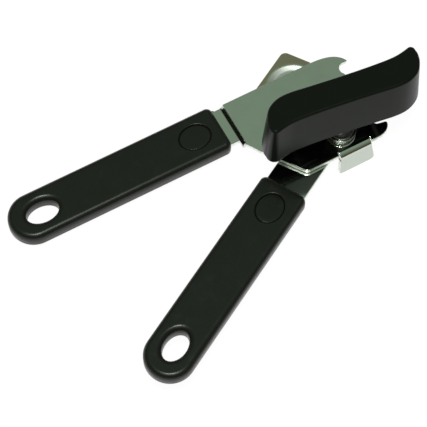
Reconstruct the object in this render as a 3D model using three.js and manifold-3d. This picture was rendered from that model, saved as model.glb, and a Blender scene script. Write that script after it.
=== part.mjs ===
// Manual can opener: two plated levers on one pivot, a turning key that drives a serrated feed wheel,
// and a free-running cutting wheel. Millimetres, +Z up.
//
// Origin: on the handle pivot's axis, at the top face of the pivot rivet.
// +X runs along the upper handle towards the head, +Z towards the turning key.
// The lower lever is drawn as it lies when the handles are parallel, then turned open about the pivot.

import * as THREE from 'three';
import { mergeVertices } from 'three/addons/utils/BufferGeometryUtils.js';
import Module from 'manifold-3d';

const wasm = await Module();
wasm.setup();

// ---------------------------------------------------------------- driving dimensions

// Handles
const gripLength = 105.6;
const gripWidth = 23;
const gripThickness = 8;
const gripTopRadius = 2.6; // rounding of the upper rims
const gripBottomRadius = 1.2;
const gripFrontCorner = 3;
const gripSegments = 15; // steps in each of its curves
const gripTipReach = 138.6; // from the pivot back to a handle's tip
const gripSpacing = 26; // between the two centre lines when the handles are parallel
const openingAngle = 29.05; // degrees between the handles as drawn
const openingTravel = 10; // degrees that the handles can still open from there

const hangHoleFromTip = 16;
const hangHoleHalfLength = 7.5;
const hangHoleHalfWidth = 5.05;

const inlayFromFront = 13.4;
const inlayHalfLength = 7.4;
const inlayHalfWidth = 6;
const inlayThickness = 0.9;
const inlaySegments = 24;
const inlayStep = 0.25; // how far the inlay's face lies below the grip's

// Plates
const plateThickness = 2.2;
const plateGap = 0.3; // sliding gap between the two plates
const stripWidth = 19.4; // of the strip that runs into a handle
const tangWidth = 14; // of the narrower part inside the handle
const tangMouth = 6; // how far the full strip width runs into the handle
const tangLength = 78; // inside the handle
const joggleSlope = 1.4; // run of the step between strip and upper plate
const joggleFromGrip = 5.4; // from the handle's front to the step
const joggleWing = 3.4; // how far the step runs on past the strip's side

const upperEdge = 22; // straight top edge of the upper plate, from the pivot
const lowerEdge = 26; // its bottom edge
const headLength = 29; // from the pivot to the mouth's two ends
const hookLength = 33.7;
const hookNose = 15.1; // height of the hook's point above the pivot
const throatRadius = 3.1;
const mouthDepth = 6.2;
const lobeTop = 19.7; // below the pivot
const lobeLength = 33.6;

const tabStart = 6.3;
const tabWidth = 16;
const tabFlare = 2;
const tabDrop = 16.5; // from the plate's top face
const tabBendRadius = 0.8; // inside
const tabCorner = 2.5;
const tabNotch = 0.45; // width of the relief cut at each end of the bend
const tabFace = 27.2; // outer face of the tab, from the pivot

const lowerPlateTop = 24.8; // far edge of the lower plate, from the pivot
const lowerPlateReach = 27;
const lowerPlateCorner = 3;
const dishRadius = 12.6;
const dishFloorRadius = 9.4;
const dishDepth = 1;
const dishCentre = new THREE.Vector2(12.5, 10.5);

// Pivot
const pivotRadius = 3;
const pivotHeadRadius = 5.2;
const pivotHeadHeight = 1.2;
const pivotWasherRadius = 5.6;
const pivotWasherThickness = 0.6;

// Drive: key, shaft and feed wheel
const driveCentre = new THREE.Vector2(12.6, -15.6);
const shaftRadius = 3.5;
const shaftSquare = 4.6; // side of the squared ends
const shaftThreadRadius = 2.3;
const bushingRadius = 5;
const bushingFlangeRadius = 6;
const bushingFlangeThickness = 0.6;
const thrustWasherRadius = 6;
const thrustWasherThickness = 0.5;
const collarRimRadius = 6.7;
const collarRimThickness = 0.9;
const collarNeckRadius = 5.6;
const keyClearance = 3.6; // from the upper plate to the key's hub

const feedWheelRadius = 8.9;
const feedWheelDrop = 2.3; // how far it stands below the lower plate
const feedWheelTeeth = 40;
const feedToothDepth = 0.8;
const feedHubRadius = 5.6;
const feedHubRecess = 0.8;
const feedRimWall = 0.9;
const endWasherRadius = 4.4;
const endWasherThickness = 0.6;
const nutAcrossFlats = 8;
const nutHeight = 3;

const keyHeight = 25; // of the grip that the fingers turn
const keyHubDrop = 8.3; // how far the hub stands below it
const keyDraft = 1.8; // how much wider each side is at the bottom than at the top
const keyAngle = -7.8; // degrees from the upper handle's direction
const keyMiddle = new THREE.Vector2(-0.5, 1.2); // middle of the moulding, from the shaft
const keyHalfLength = 37;
const keyHalfWidth = 6.65;
const keyHornReach = 36.7; // along the key, to each horn's outer side
const keyHornOut = 9.7; // across the key, to each horn's top
const keyHornRadius = 2.1;
const keyEdgeRadius = 1.2;
const keyWall = 2.4;
const keyRoof = 3;
const keyHubRadius = 6.4;
const keyRibWidth = 1.8;
const keyRibPlace = 19.5; // along the key, from its centre

// Cutting wheel
const cutterCentre = new THREE.Vector2(12.5, 4.6); // with the handles parallel
const cutterWheelRadius = 12;
const cutterWheelThickness = 1.5;
const cutterBevel = 3.2; // width of the ground edge
const cutterEdge = 0.2; // thickness left at the ground edge
const cutterAxleRadius = 2.6;
const cutterAxleHeadRadius = 4.8;
const cutterAxleHeadHeight = 1.4;
const cutterSpacerRadius = 4.6;
const cutterWasherRadius = 5.2;
const cutterWasherThickness = 0.4;
const wheelOverlapGap = 0.4; // axial gap between feed wheel and cutting wheel

// Fits
const seatGap = 0.2; // between faces that rest on each other
const turnGap = 0.2; // round a shaft or a rivet
const insertGap = 0.3; // round a tang or an inlay
const sweepGap = 0.7; // round the feed wheel, in the lower plate's cut-out

// ---------------------------------------------------------------- levels and places that follow

const upperTop = -pivotHeadHeight - seatGap;
const upperBottom = upperTop - plateThickness;
const lowerTop = upperBottom - plateGap;
const lowerBottom = lowerTop - plateThickness;
const gripBottom = (lowerTop + lowerBottom - gripThickness) / 2;
const gripTop = gripBottom + gripThickness;
const gripFront = gripLength - gripTipReach;
const joggleTop = gripFront + joggleFromGrip;
const dishBottom = lowerBottom - dishDepth;

const bushingFlangeBottom = upperTop + seatGap;
const thrustWasherBottom = bushingFlangeBottom + bushingFlangeThickness + seatGap;
const collarBottom = thrustWasherBottom + thrustWasherThickness + seatGap;
const keyBottom = upperTop + keyClearance;
const collarTop = keyBottom - seatGap;
const keyRim = keyBottom + keyHubDrop;
const keyTop = keyRim + keyHeight;

const feedTop = lowerTop;
const feedBottom = lowerBottom - feedWheelDrop;
const endWasherTop = feedBottom - seatGap;
const nutTop = endWasherTop - endWasherThickness - seatGap;
const shaftBottom = nutTop - nutHeight - 0.8;

const cutterTop = feedBottom - wheelOverlapGap;
const cutterBottom = cutterTop - cutterWheelThickness;
const cutterWasherTop = cutterBottom - seatGap;
const cutterHeadTop = cutterWasherTop - cutterWasherThickness - seatGap;

const degrees = Math.PI / 180;

// ---------------------------------------------------------------- finishes

const finishes = {
  blackPlastic: { color: 0x1c1f1c, roughness: 0.42, metalness: 0 },
  blackInlay: { color: 0x171917, roughness: 0.35, metalness: 0 },
  chromedPlate: { color: 0xb4bdb2, roughness: 0.2, metalness: 1 },
  brightSteel: { color: 0xc4c8c2, roughness: 0.25, metalness: 1 },
  hardenedSteel: { color: 0x8f938e, roughness: 0.35, metalness: 1 },
};

// ---------------------------------------------------------------- solids

function toSolid(geometry) {
  const bare = geometry.clone();
  bare.deleteAttribute('normal');
  bare.deleteAttribute('uv');
  const merged = mergeVertices(bare, 1e-4);
  const corners = [];
  for (let i = 0; i < merged.index.count; i += 3) {
    const [a, b, c] = [0, 1, 2].map((k) => merged.index.getX(i + k));
    if (a !== b && b !== c && c !== a) corners.push(a, b, c);
  }
  return new wasm.Manifold(new wasm.Mesh({
    numProp: 3,
    vertProperties: merged.attributes.position.array,
    triVerts: Uint32Array.from(corners),
  }));
}

function toGeometry(solid) {
  const mesh = solid.getMesh();
  const geometry = new THREE.BufferGeometry();
  geometry.setAttribute('position', new THREE.BufferAttribute(mesh.vertProperties, 3));
  geometry.setIndex(new THREE.BufferAttribute(mesh.triVerts, 1));
  geometry.computeVertexNormals();
  return geometry;
}

// A flat outline raised from bottom to top.
function raised(shape, bottom, top, curveSegments = 10) {
  const geometry = new THREE.ExtrudeGeometry(shape, {
    depth: top - bottom,
    bevelEnabled: false,
    curveSegments,
  });
  return toSolid(geometry.translate(0, 0, bottom));
}

// The same with both rims rounded; the outline is the widest section.
function raisedRound(shape, bottom, top, radius, curveSegments = 10) {
  const geometry = new THREE.ExtrudeGeometry(shape, {
    depth: top - bottom - 2 * radius,
    bevelThickness: radius,
    bevelSize: radius,
    bevelOffset: -radius,
    bevelSegments: 3,
    curveSegments,
  });
  return toSolid(geometry.translate(0, 0, bottom + radius));
}

// Closed outlines with equal numbers of points, joined from the lowest to the highest.
function lofted(rings) {
  const count = rings[0].outline.length;
  const positions = rings.flatMap(({ outline, z }) => outline.flatMap((p) => [p.x, p.y, z]));
  const index = [];
  for (let ring = 0; ring + 1 < rings.length; ring += 1) {
    for (let i = 0; i < count; i += 1) {
      const a = ring * count + i;
      const b = ring * count + ((i + 1) % count);
      index.push(a, b, b + count, a, b + count, a + count);
    }
  }
  const top = (rings.length - 1) * count;
  for (const [a, b, c] of THREE.ShapeUtils.triangulateShape(rings[0].outline, [])) {
    index.push(a, c, b);
  }
  for (const [a, b, c] of THREE.ShapeUtils.triangulateShape(rings.at(-1).outline, [])) {
    index.push(top + a, top + b, top + c);
  }
  const geometry = new THREE.BufferGeometry();
  geometry.setAttribute('position', new THREE.Float32BufferAttribute(positions, 3));
  geometry.setIndex(index);
  return toSolid(geometry);
}

// A profile in the Y-Z plane run along X from start to end.
function runAlongX(points, start, end) {
  const geometry = new THREE.ExtrudeGeometry(new THREE.Shape(points), {
    depth: end - start,
    bevelEnabled: false,
  });
  const turn = new THREE.Matrix4().makeBasis(
    new THREE.Vector3(0, 1, 0),
    new THREE.Vector3(0, 0, 1),
    new THREE.Vector3(1, 0, 0),
  );
  return toSolid(geometry.applyMatrix4(turn).translate(start, 0, 0));
}

// A profile in the X-Z plane run along Y from start to end.
function runAlongY(points, start, end) {
  const geometry = new THREE.ExtrudeGeometry(new THREE.Shape(points), {
    depth: end - start,
    bevelEnabled: false,
  });
  return toSolid(geometry.rotateX(Math.PI / 2).translate(0, end, 0));
}

// A closed profile of [radius, height] pairs, anticlockwise, turned about a vertical axis.
function turned(profile, centre, segments = 40) {
  const points = [...profile, profile[0]].map(([r, z]) => new THREE.Vector2(r, z));
  const geometry = new THREE.LatheGeometry(points, segments).rotateX(Math.PI / 2);
  return toSolid(geometry.translate(centre.x, centre.y, 0));
}

function ring(inner, outer, bottom, top, centre, segments = 40) {
  const profile = [[inner, bottom], [outer, bottom], [outer, top], [inner, top]];
  return turned(profile, centre, segments);
}

function bar(radius, bottom, top, centre, segments = 40) {
  return turned([[0, bottom], [radius, bottom], [radius, top], [0, top]], centre, segments);
}

function squareBar(side, bottom, top, centre, turn = 0) {
  const geometry = new THREE.BoxGeometry(side, side, top - bottom).rotateZ(turn * degrees);
  return toSolid(geometry.translate(centre.x, centre.y, (top + bottom) / 2));
}

function arcPoints(x, y, radius, from, to, steps) {
  return Array.from({ length: steps + 1 }, (_, i) => {
    const angle = (from + ((to - from) * i) / steps) * degrees;
    return new THREE.Vector2(x + radius * Math.cos(angle), y + radius * Math.sin(angle));
  });
}

function oval(x, y, halfLength, halfWidth) {
  const outline = new THREE.Shape();
  outline.absellipse(x, y, halfLength, halfWidth, 0, 2 * Math.PI, false, 0);
  return outline;
}

const pivot = new THREE.Vector2(0, 0);

// ---------------------------------------------------------------- handles

// A handle from its round tip to its front, centred on the line y = offset.
function gripOutline(offset) {
  const tipRadius = gripWidth / 2;
  const tipCentre = tipRadius - gripTipReach;
  const side = tipRadius - gripFrontCorner;
  const outline = new THREE.Shape();
  outline.absarc(tipCentre, offset, tipRadius, Math.PI / 2, 1.5 * Math.PI, false);
  outline.absarc(gripFront - gripFrontCorner, offset - side, gripFrontCorner, -Math.PI / 2, 0, false);
  outline.absarc(gripFront - gripFrontCorner, offset + side, gripFrontCorner, 0, Math.PI / 2, false);
  return outline;
}

// The blade of metal inside a handle, grown by a margin all round for the slot that holds it.
function tangOutline(offset, front, margin = 0) {
  const half = stripWidth / 2 + margin;
  const narrow = tangWidth / 2 + margin;
  const step = gripFront - tangMouth - margin;
  const end = gripFront - tangLength - margin;
  return new THREE.Shape([
    new THREE.Vector2(front, offset + half),
    new THREE.Vector2(step, offset + half),
    new THREE.Vector2(step - 2, offset + narrow),
    new THREE.Vector2(end, offset + narrow),
    new THREE.Vector2(end, offset - narrow),
    new THREE.Vector2(step - 2, offset - narrow),
    new THREE.Vector2(step, offset - half),
    new THREE.Vector2(front, offset - half),
  ]);
}

function inlayCentre() {
  return gripFront - inlayFromFront;
}

function grip(offset) {
  const outline = gripOutline(offset);
  const holeX = hangHoleFromTip - gripTipReach;
  outline.holes.push(oval(holeX, offset, hangHoleHalfLength, hangHoleHalfWidth));
  const rounded = (bottom, top, radius) => raisedRound(outline, bottom, top, radius, gripSegments);
  const body = rounded(gripBottom - gripTopRadius, gripTop, gripTopRadius)
    .intersect(rounded(gripBottom, gripTop + gripBottomRadius, gripBottomRadius));
  const slot = raised(
    tangOutline(offset, gripFront + 1, insertGap),
    lowerBottom - insertGap,
    lowerTop + insertGap,
  );
  const recessDepth = inlayThickness + inlayStep + seatGap;
  const recess = raised(
    oval(inlayCentre(), offset, inlayHalfLength + insertGap, inlayHalfWidth + insertGap),
    gripTop - recessDepth,
    gripTop + 1,
    inlaySegments,
  );
  return body.subtract(slot).subtract(recess);
}

function inlay(offset) {
  const top = gripTop - inlayStep;
  const outline = oval(inlayCentre(), offset, inlayHalfLength, inlayHalfWidth);
  return raisedRound(outline, top - inlayThickness, top, inlayThickness / 3, inlaySegments);
}

// ---------------------------------------------------------------- upper lever

const upperOffset = gripSpacing / 2;
const lowerOffset = -gripSpacing / 2;

// The head plate: straight top edge, bottle hook, wide mouth, lower lobe, slanting back edge.
function headOutline() {
  const throatX = hookLength - 2.3;
  const throatY = hookNose - throatRadius;
  const mouthTop = throatY - throatRadius - 1.4;
  const halfMouth = (mouthTop + lobeTop) / 2;
  const mouthRadius = (halfMouth ** 2 + mouthDepth ** 2) / (2 * mouthDepth);
  const mouthAngle = Math.asin(halfMouth / mouthRadius);
  const mouthX = headLength - mouthDepth + mouthRadius;
  const strip = stripWidth / 2;
  const outline = new THREE.Shape();
  outline.moveTo(joggleTop, upperOffset - strip - 4.6);
  outline.quadraticCurveTo(joggleTop + 1.4, -3.2, joggleTop + 3.3, -6.6);
  outline.lineTo(-11.6, -lowerEdge + 1.6);
  outline.quadraticCurveTo(-10.6, -lowerEdge, -8.6, -lowerEdge);
  outline.lineTo(lobeLength - 8, -lowerEdge);
  outline.quadraticCurveTo(lobeLength - 2.6, -lowerEdge, lobeLength - 0.6, -lobeTop - 2.9);
  outline.quadraticCurveTo(lobeLength + 0.6, -lobeTop - 0.7, lobeLength - 1.6, -lobeTop - 0.6);
  outline.lineTo(headLength + 1, -lobeTop - 0.2);
  const mouthStart = Math.PI + mouthAngle;
  outline.absarc(mouthX, mouthTop - halfMouth, mouthRadius, mouthStart, Math.PI - mouthAngle, true);
  const throatStart = 1.15 * Math.PI;
  const throatFootX = throatX + throatRadius * Math.cos(throatStart);
  const throatFootY = throatY + throatRadius * Math.sin(throatStart);
  outline.quadraticCurveTo(headLength + 1.2, mouthTop + 1, throatFootX, throatFootY);
  outline.absarc(throatX, throatY, throatRadius, throatStart, Math.PI / 2, true);
  outline.lineTo(hookLength - 0.5, hookNose - 0.1);
  outline.quadraticCurveTo(hookLength + 0.4, hookNose, hookLength - 0.3, hookNose + 1);
  outline.quadraticCurveTo(hookLength - 3.6, upperEdge + 0.2, hookLength - 16.5, upperEdge);
  outline.lineTo(joggleTop, upperEdge);
  return outline;
}

// Side view of the step that lifts the head plate above the strip.
function joggleProfile() {
  const drop = upperTop - lowerTop;
  const bend = plateThickness * 0.36;
  const foot = joggleTop - joggleSlope;
  const points = [
    [gripFront - 1, lowerBottom],
    [foot + bend * 1.4, lowerBottom],
    [joggleTop + bend * 1.4, upperBottom],
    [joggleTop + 6, upperBottom],
    [joggleTop + 6, upperTop],
    [joggleTop + 0.9, upperTop],
    [joggleTop + 0.2, upperTop - 0.25],
    [joggleTop - 0.25, upperTop - 0.9],
    [foot + 0.2, upperTop - drop + 0.25],
    [foot - 0.4, lowerTop],
    [gripFront - 1, lowerTop],
  ];
  return points.map(([x, z]) => new THREE.Vector2(x, z));
}

// The guide tab, bent down from the head plate's bottom edge.
function tabSolid() {
  const outerRadius = tabBendRadius + plateThickness;
  const bendY = outerRadius - tabFace;
  const bendZ = upperTop - outerRadius;
  const bendProfile = [
    new THREE.Vector2(bendY + 3, upperTop),
    ...arcPoints(bendY, bendZ, outerRadius, 90, 180, 8),
    new THREE.Vector2(-tabFace, bendZ - 1),
    new THREE.Vector2(-tabFace + plateThickness, bendZ - 1),
    ...arcPoints(bendY, bendZ, tabBendRadius, 180, 90, 6),
    new THREE.Vector2(bendY + 3, upperBottom),
  ];
  const bend = runAlongX(bendProfile, tabStart, tabStart + tabWidth);
  const bottom = upperTop - tabDrop;
  const blade = new THREE.Shape();
  blade.moveTo(tabStart + tabWidth, bendZ);
  blade.lineTo(tabStart, bendZ);
  blade.lineTo(tabStart + 0.2, bottom + tabCorner * 0.6);
  blade.quadraticCurveTo(tabStart + 0.2, bottom, tabStart + tabCorner, bottom);
  blade.lineTo(tabStart + tabWidth + tabFlare - tabCorner, bottom);
  blade.quadraticCurveTo(
    tabStart + tabWidth + tabFlare,
    bottom,
    tabStart + tabWidth + tabFlare,
    bottom + tabCorner,
  );
  const bladeSolid = runAlongY(blade.getPoints(8), -tabFace, -tabFace + plateThickness);
  return bend.add(bladeSolid);
}

function upperPlate() {
  const outerRadius = tabBendRadius + plateThickness;
  const notchTop = outerRadius - tabFace;
  const cutDepth = 6;
  const cutHeight = 8;
  const edgeCut = (width, middle) => toSolid(
    new THREE.BoxGeometry(width, cutDepth, cutHeight)
      .translate(middle, notchTop - cutDepth / 2, upperTop),
  );
  const strip = raised(tangOutline(upperOffset, gripFront + 1), lowerBottom, lowerTop);
  const stripHalf = stripWidth / 2;
  const step = runAlongY(joggleProfile(), upperOffset - stripHalf - joggleWing, upperEdge);
  const bareSide = raised(
    new THREE.Shape([
      new THREE.Vector2(gripFront - 3, upperOffset - stripHalf),
      new THREE.Vector2(gripFront - 3, upperOffset - stripHalf - 8),
      new THREE.Vector2(joggleTop - joggleSlope + 0.1, upperOffset - stripHalf - 8),
      new THREE.Vector2(joggleTop - joggleSlope + 0.1, upperOffset - stripHalf),
    ]),
    lowerBottom - 1,
    upperTop + 1,
  );
  return raised(headOutline(), upperBottom, upperTop)
    .subtract(edgeCut(tabWidth + 2 * tabNotch, tabStart + tabWidth / 2))
    .add(step.subtract(bareSide))
    .add(strip)
    .add(tabSolid())
    .subtract(bar(pivotRadius + turnGap, upperBottom - 1, upperTop + 1, pivot))
    .subtract(bar(bushingRadius + turnGap, upperBottom - 1, upperTop + 1, driveCentre));
}

function pivotRivet() {
  const headBottom = upperTop + seatGap;
  const washerBottom = lowerBottom - seatGap - pivotWasherThickness;
  const footTop = washerBottom - seatGap;
  const footBottom = footTop - pivotHeadHeight;
  const flat = pivotHeadRadius - 1.4;
  return turned([
    [0, footBottom],
    [flat, footBottom],
    [pivotHeadRadius - 0.4, footBottom + 0.4],
    [pivotHeadRadius, footTop],
    [pivotRadius, footTop],
    [pivotRadius, headBottom],
    [pivotHeadRadius, headBottom],
    [pivotHeadRadius - 0.3, -0.5],
    [flat, 0],
    [0, 0],
  ], pivot);
}

function pivotWasher() {
  const top = lowerBottom - seatGap;
  return ring(pivotRadius + turnGap, pivotWasherRadius, top - pivotWasherThickness, top, pivot);
}

function shaftBushing() {
  const bore = shaftRadius + turnGap;
  const flangeTop = bushingFlangeBottom + bushingFlangeThickness;
  return turned([
    [bore, upperBottom],
    [bushingRadius, upperBottom],
    [bushingRadius, bushingFlangeBottom],
    [bushingFlangeRadius, bushingFlangeBottom],
    [bushingFlangeRadius, flangeTop],
    [bore, flangeTop],
  ], driveCentre);
}

// ---------------------------------------------------------------- lower lever

// The path that the feed wheel takes through the lower plate as the handles open and close.
function feedWheelSweep() {
  const reach = driveCentre.length();
  const width = feedWheelRadius + sweepGap;
  const closed = driveCentre.angle() / degrees + 1;
  const open = closed - openingAngle - openingTravel - 2;
  const endCap = (angle, from, to) => {
    const x = reach * Math.cos(angle * degrees);
    const y = reach * Math.sin(angle * degrees);
    return arcPoints(x, y, width, angle + from, angle + to, 14);
  };
  return new THREE.Shape([
    ...arcPoints(0, 0, reach + width, open, closed, 12),
    ...endCap(closed, 0, 180),
    ...arcPoints(0, 0, reach - width, closed, open, 10),
    ...endCap(open, 180, 360),
  ]);
}

function lowerHeadOutline() {
  const strip = stripWidth / 2;
  const back = joggleTop + 8.5;
  const cornerX = lowerPlateReach - lowerPlateCorner;
  const cornerY = lowerPlateTop - lowerPlateCorner;
  const outline = new THREE.Shape();
  outline.moveTo(gripFront + 0.5, lowerOffset + strip);
  outline.lineTo(gripFront + 0.5, lowerOffset - strip);
  outline.lineTo(-2, lowerOffset - strip);
  outline.lineTo(20, -8);
  outline.quadraticCurveTo(lowerPlateReach + 1.5, -6, lowerPlateReach + 1.5, 2);
  outline.lineTo(lowerPlateReach + 1.2, 12);
  outline.lineTo(lowerPlateReach, cornerY);
  outline.absarc(cornerX, cornerY, lowerPlateCorner, 0, Math.PI / 2, false);
  outline.lineTo(-10.6, lowerPlateTop);
  outline.lineTo(back, lowerOffset + strip + 2.5);
  outline.quadraticCurveTo(back - 1, lowerOffset + strip, back - 2.5, lowerOffset + strip);
  return outline;
}

function lowerPlate() {
  const slope = dishRadius - dishFloorRadius;
  const pressedIn = turned([
    [0, lowerTop - dishDepth],
    [dishFloorRadius, lowerTop - dishDepth],
    [dishFloorRadius + slope * 0.35, lowerTop - dishDepth * 0.8],
    [dishFloorRadius + slope * 0.7, lowerTop - dishDepth * 0.22],
    [dishRadius, lowerTop],
    [dishRadius, lowerTop + 1],
    [0, lowerTop + 1],
  ], dishCentre, 48);
  const pressedOut = turned([
    [0, dishBottom],
    [dishFloorRadius - 0.8, dishBottom],
    [dishFloorRadius - 0.8 + slope * 0.35, dishBottom + dishDepth * 0.22],
    [dishFloorRadius - 0.8 + slope * 0.7, dishBottom + dishDepth * 0.8],
    [dishRadius - 0.8, lowerBottom],
    [dishRadius - 0.8, lowerBottom + 0.5],
    [0, lowerBottom + 0.5],
  ], dishCentre, 48);
  const sweep = raised(feedWheelSweep(), dishBottom - 1, lowerTop + 1);
  return raised(lowerHeadOutline(), lowerBottom, lowerTop)
    .add(raised(tangOutline(lowerOffset, gripFront + 1), lowerBottom, lowerTop))
    .add(pressedOut)
    .subtract(pressedIn)
    .subtract(sweep)
    .subtract(bar(pivotRadius + turnGap, lowerBottom - 2, lowerTop + 1, pivot))
    .subtract(bar(cutterAxleRadius + turnGap, dishBottom - 1, lowerTop + 1, cutterCentre));
}

function cutterAxle() {
  const dishFloor = lowerTop - dishDepth;
  const headBottom = cutterHeadTop - cutterAxleHeadHeight;
  const peenedRadius = cutterAxleRadius + 0.9;
  return turned([
    [0, headBottom],
    [cutterAxleHeadRadius - 1.4, headBottom],
    [cutterAxleHeadRadius - 0.3, headBottom + 0.5],
    [cutterAxleHeadRadius, cutterHeadTop],
    [cutterAxleRadius, cutterHeadTop],
    [cutterAxleRadius, dishFloor + seatGap],
    [peenedRadius, dishFloor + seatGap],
    [peenedRadius - 0.3, lowerTop - 0.2],
    [0, lowerTop - 0.2],
  ], cutterCentre);
}

function cutterSpacer() {
  const bore = cutterAxleRadius + turnGap;
  return ring(bore, cutterSpacerRadius, cutterTop + seatGap, dishBottom - seatGap, cutterCentre);
}

function cutterWasher() {
  const bottom = cutterWasherTop - cutterWasherThickness;
  return ring(cutterAxleRadius + turnGap, cutterWasherRadius, bottom, cutterWasherTop, cutterCentre);
}

// ---------------------------------------------------------------- wheels

function cuttingWheel() {
  const shoulder = cutterWheelRadius - cutterBevel;
  const bore = cutterAxleRadius + turnGap;
  return turned([
    [bore, cutterBottom],
    [shoulder, cutterBottom],
    [cutterWheelRadius, cutterTop - cutterEdge],
    [cutterWheelRadius, cutterTop],
    [bore, cutterTop],
  ], cutterCentre, 64);
}

function feedWheel() {
  const pitch = (2 * Math.PI) / feedWheelTeeth;
  const root = feedWheelRadius - feedToothDepth;
  const points = [];
  for (let tooth = 0; tooth < feedWheelTeeth; tooth += 1) {
    const corners = [[root, 0], [feedWheelRadius, 0.35], [feedWheelRadius, 0.55], [root, 0.9]];
    for (const [radius, share] of corners) {
      const angle = (tooth + share) * pitch;
      points.push(new THREE.Vector2(
        driveCentre.x + radius * Math.cos(angle),
        driveCentre.y + radius * Math.sin(angle),
      ));
    }
  }
  const recessTop = feedBottom + feedHubRecess;
  const recess = ring(feedHubRadius, root - feedRimWall, feedBottom - 1, recessTop, driveCentre, 32);
  return raised(new THREE.Shape(points), feedBottom, feedTop)
    .subtract(recess)
    .subtract(squareBar(shaftSquare + 2 * turnGap, feedBottom - 1, feedTop + 1, driveCentre));
}

// ---------------------------------------------------------------- drive

function driveShaft() {
  const socketTop = keyTop - keyRoof - seatGap - 2;
  const journal = turned([
    [0, feedTop + seatGap],
    [shaftRadius, feedTop + seatGap],
    [shaftRadius, keyBottom + 1],
    [0, keyBottom + 1],
  ], driveCentre);
  const thread = turned([
    [0, shaftBottom],
    [shaftThreadRadius - 0.5, shaftBottom],
    [shaftThreadRadius, shaftBottom + 0.5],
    [shaftThreadRadius, feedBottom + 1],
    [0, feedBottom + 1],
  ], driveCentre);
  return journal
    .add(squareBar(shaftSquare, feedBottom, feedTop + 1, driveCentre))
    .add(squareBar(shaftSquare, keyBottom, socketTop, driveCentre, keyAngle))
    .add(thread);
}

function thrustWasher() {
  const top = thrustWasherBottom + thrustWasherThickness;
  return ring(shaftRadius + turnGap, thrustWasherRadius, thrustWasherBottom, top, driveCentre);
}

// A collar with a thin rim at its foot, between the plate and the key's hub.
function keyCollar() {
  const bore = shaftRadius + turnGap;
  const rimTop = collarBottom + collarRimThickness;
  const rimRound = 0.25;
  return turned([
    [bore, collarBottom],
    [collarRimRadius - rimRound, collarBottom],
    [collarRimRadius, collarBottom + rimRound],
    [collarRimRadius, rimTop - rimRound],
    [collarRimRadius - rimRound, rimTop],
    [collarNeckRadius, rimTop],
    [collarNeckRadius, collarTop],
    [bore, collarTop],
  ], driveCentre, 48);
}

function endWasher() {
  const bottom = endWasherTop - endWasherThickness;
  return ring(shaftThreadRadius + turnGap, endWasherRadius, bottom, endWasherTop, driveCentre, 32);
}

function wheelNut() {
  const corner = nutAcrossFlats / 2 / Math.cos(Math.PI / 6);
  const hexagon = new THREE.Shape(
    arcPoints(driveCentre.x, driveCentre.y, corner, 0, 300, 5),
  );
  return raised(hexagon, nutTop - nutHeight, nutTop)
    .subtract(bar(shaftThreadRadius + turnGap, nutTop - nutHeight - 1, nutTop + 1, driveCentre, 24));
}

// Half of the key's S-shaped outline, about its own centre, along X; the other half is the same
// turned half round. It starts at the right horn and ends before the left one.
function keyHalfOutline() {
  const hornX = keyHornReach - keyHornRadius;
  const hornY = keyHornOut - keyHornRadius;
  const horn = arcPoints(hornX, hornY, keyHornRadius, 10, 108, 7);
  const edge = new THREE.SplineCurve([
    horn.at(-1),
    new THREE.Vector2(hornX - 4.6, keyHornOut - 1.45),
    new THREE.Vector2(hornX - 10, keyHalfWidth + 0.6),
    new THREE.Vector2(hornX - 21, keyHalfWidth + 0.1),
    new THREE.Vector2(0, keyHalfWidth),
    new THREE.Vector2(-keyHalfLength * 0.38, keyHalfWidth + 0.2),
    new THREE.Vector2(-keyHalfLength * 0.62, keyHalfWidth + 0.3),
    new THREE.Vector2(-keyHalfLength * 0.78, keyHalfWidth - 0.7),
    new THREE.Vector2(-keyHalfLength * 0.91, keyHalfWidth - 3.7),
    new THREE.Vector2(-keyHalfLength * 0.98, keyHalfWidth - 8.2),
    new THREE.Vector2(-keyHalfLength, keyHalfWidth - 12),
    new THREE.Vector2(-keyHornReach - 0.1, -hornY + 0.9),
  ]);
  return [...horn.slice(0, -1), ...edge.getPoints(36)];
}

function keyOutline() {
  const half = keyHalfOutline();
  return [...half, ...half.map((p) => new THREE.Vector2(-p.x, -p.y))];
}

// A closed outline moved inwards by a distance.
function insetOutline(points, distance) {
  return points.map((p, i) => {
    const before = points[(i + points.length - 1) % points.length];
    const after = points[(i + 1) % points.length];
    const along = after.clone().sub(before).normalize();
    return new THREE.Vector2(p.x - along.y * distance, p.y + along.x * distance);
  });
}

// The moulding's outer skin: wider at the bottom, both rims rounded.
function keySkin() {
  const base = keyOutline();
  const slope = keyDraft / keyHeight;
  const level = (height, inset) => ({
    outline: insetOutline(base, inset - slope * (keyHeight - height)),
    z: keyRim + height,
  });
  const rounding = [0, 30, 60, 90].map((angle) => ({
    drop: keyEdgeRadius * (1 - Math.sin(angle * degrees)),
    inset: keyEdgeRadius * (1 - Math.cos(angle * degrees)),
  }));
  const bottom = [...rounding].reverse().map(({ drop, inset }) => level(drop, inset));
  const top = rounding.map(({ drop, inset }) => level(keyHeight - drop, inset));
  return lofted([...bottom, ...top]);
}

// The hollow below the roof: a straight round-ended slot, as wide as the waist allows.
function keyCavity() {
  const slot = (wall, z) => {
    const radius = keyHalfWidth - wall;
    const reach = keyHalfLength - wall - keyHalfWidth;
    const outline = [
      ...arcPoints(reach, 0, radius, -90, 90, 8),
      ...arcPoints(-reach, 0, radius, 90, 270, 8),
    ];
    return { outline, z };
  };
  return lofted([slot(keyWall - keyDraft, keyRim - 0.01), slot(keyWall, keyTop - keyRoof)]);
}

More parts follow.
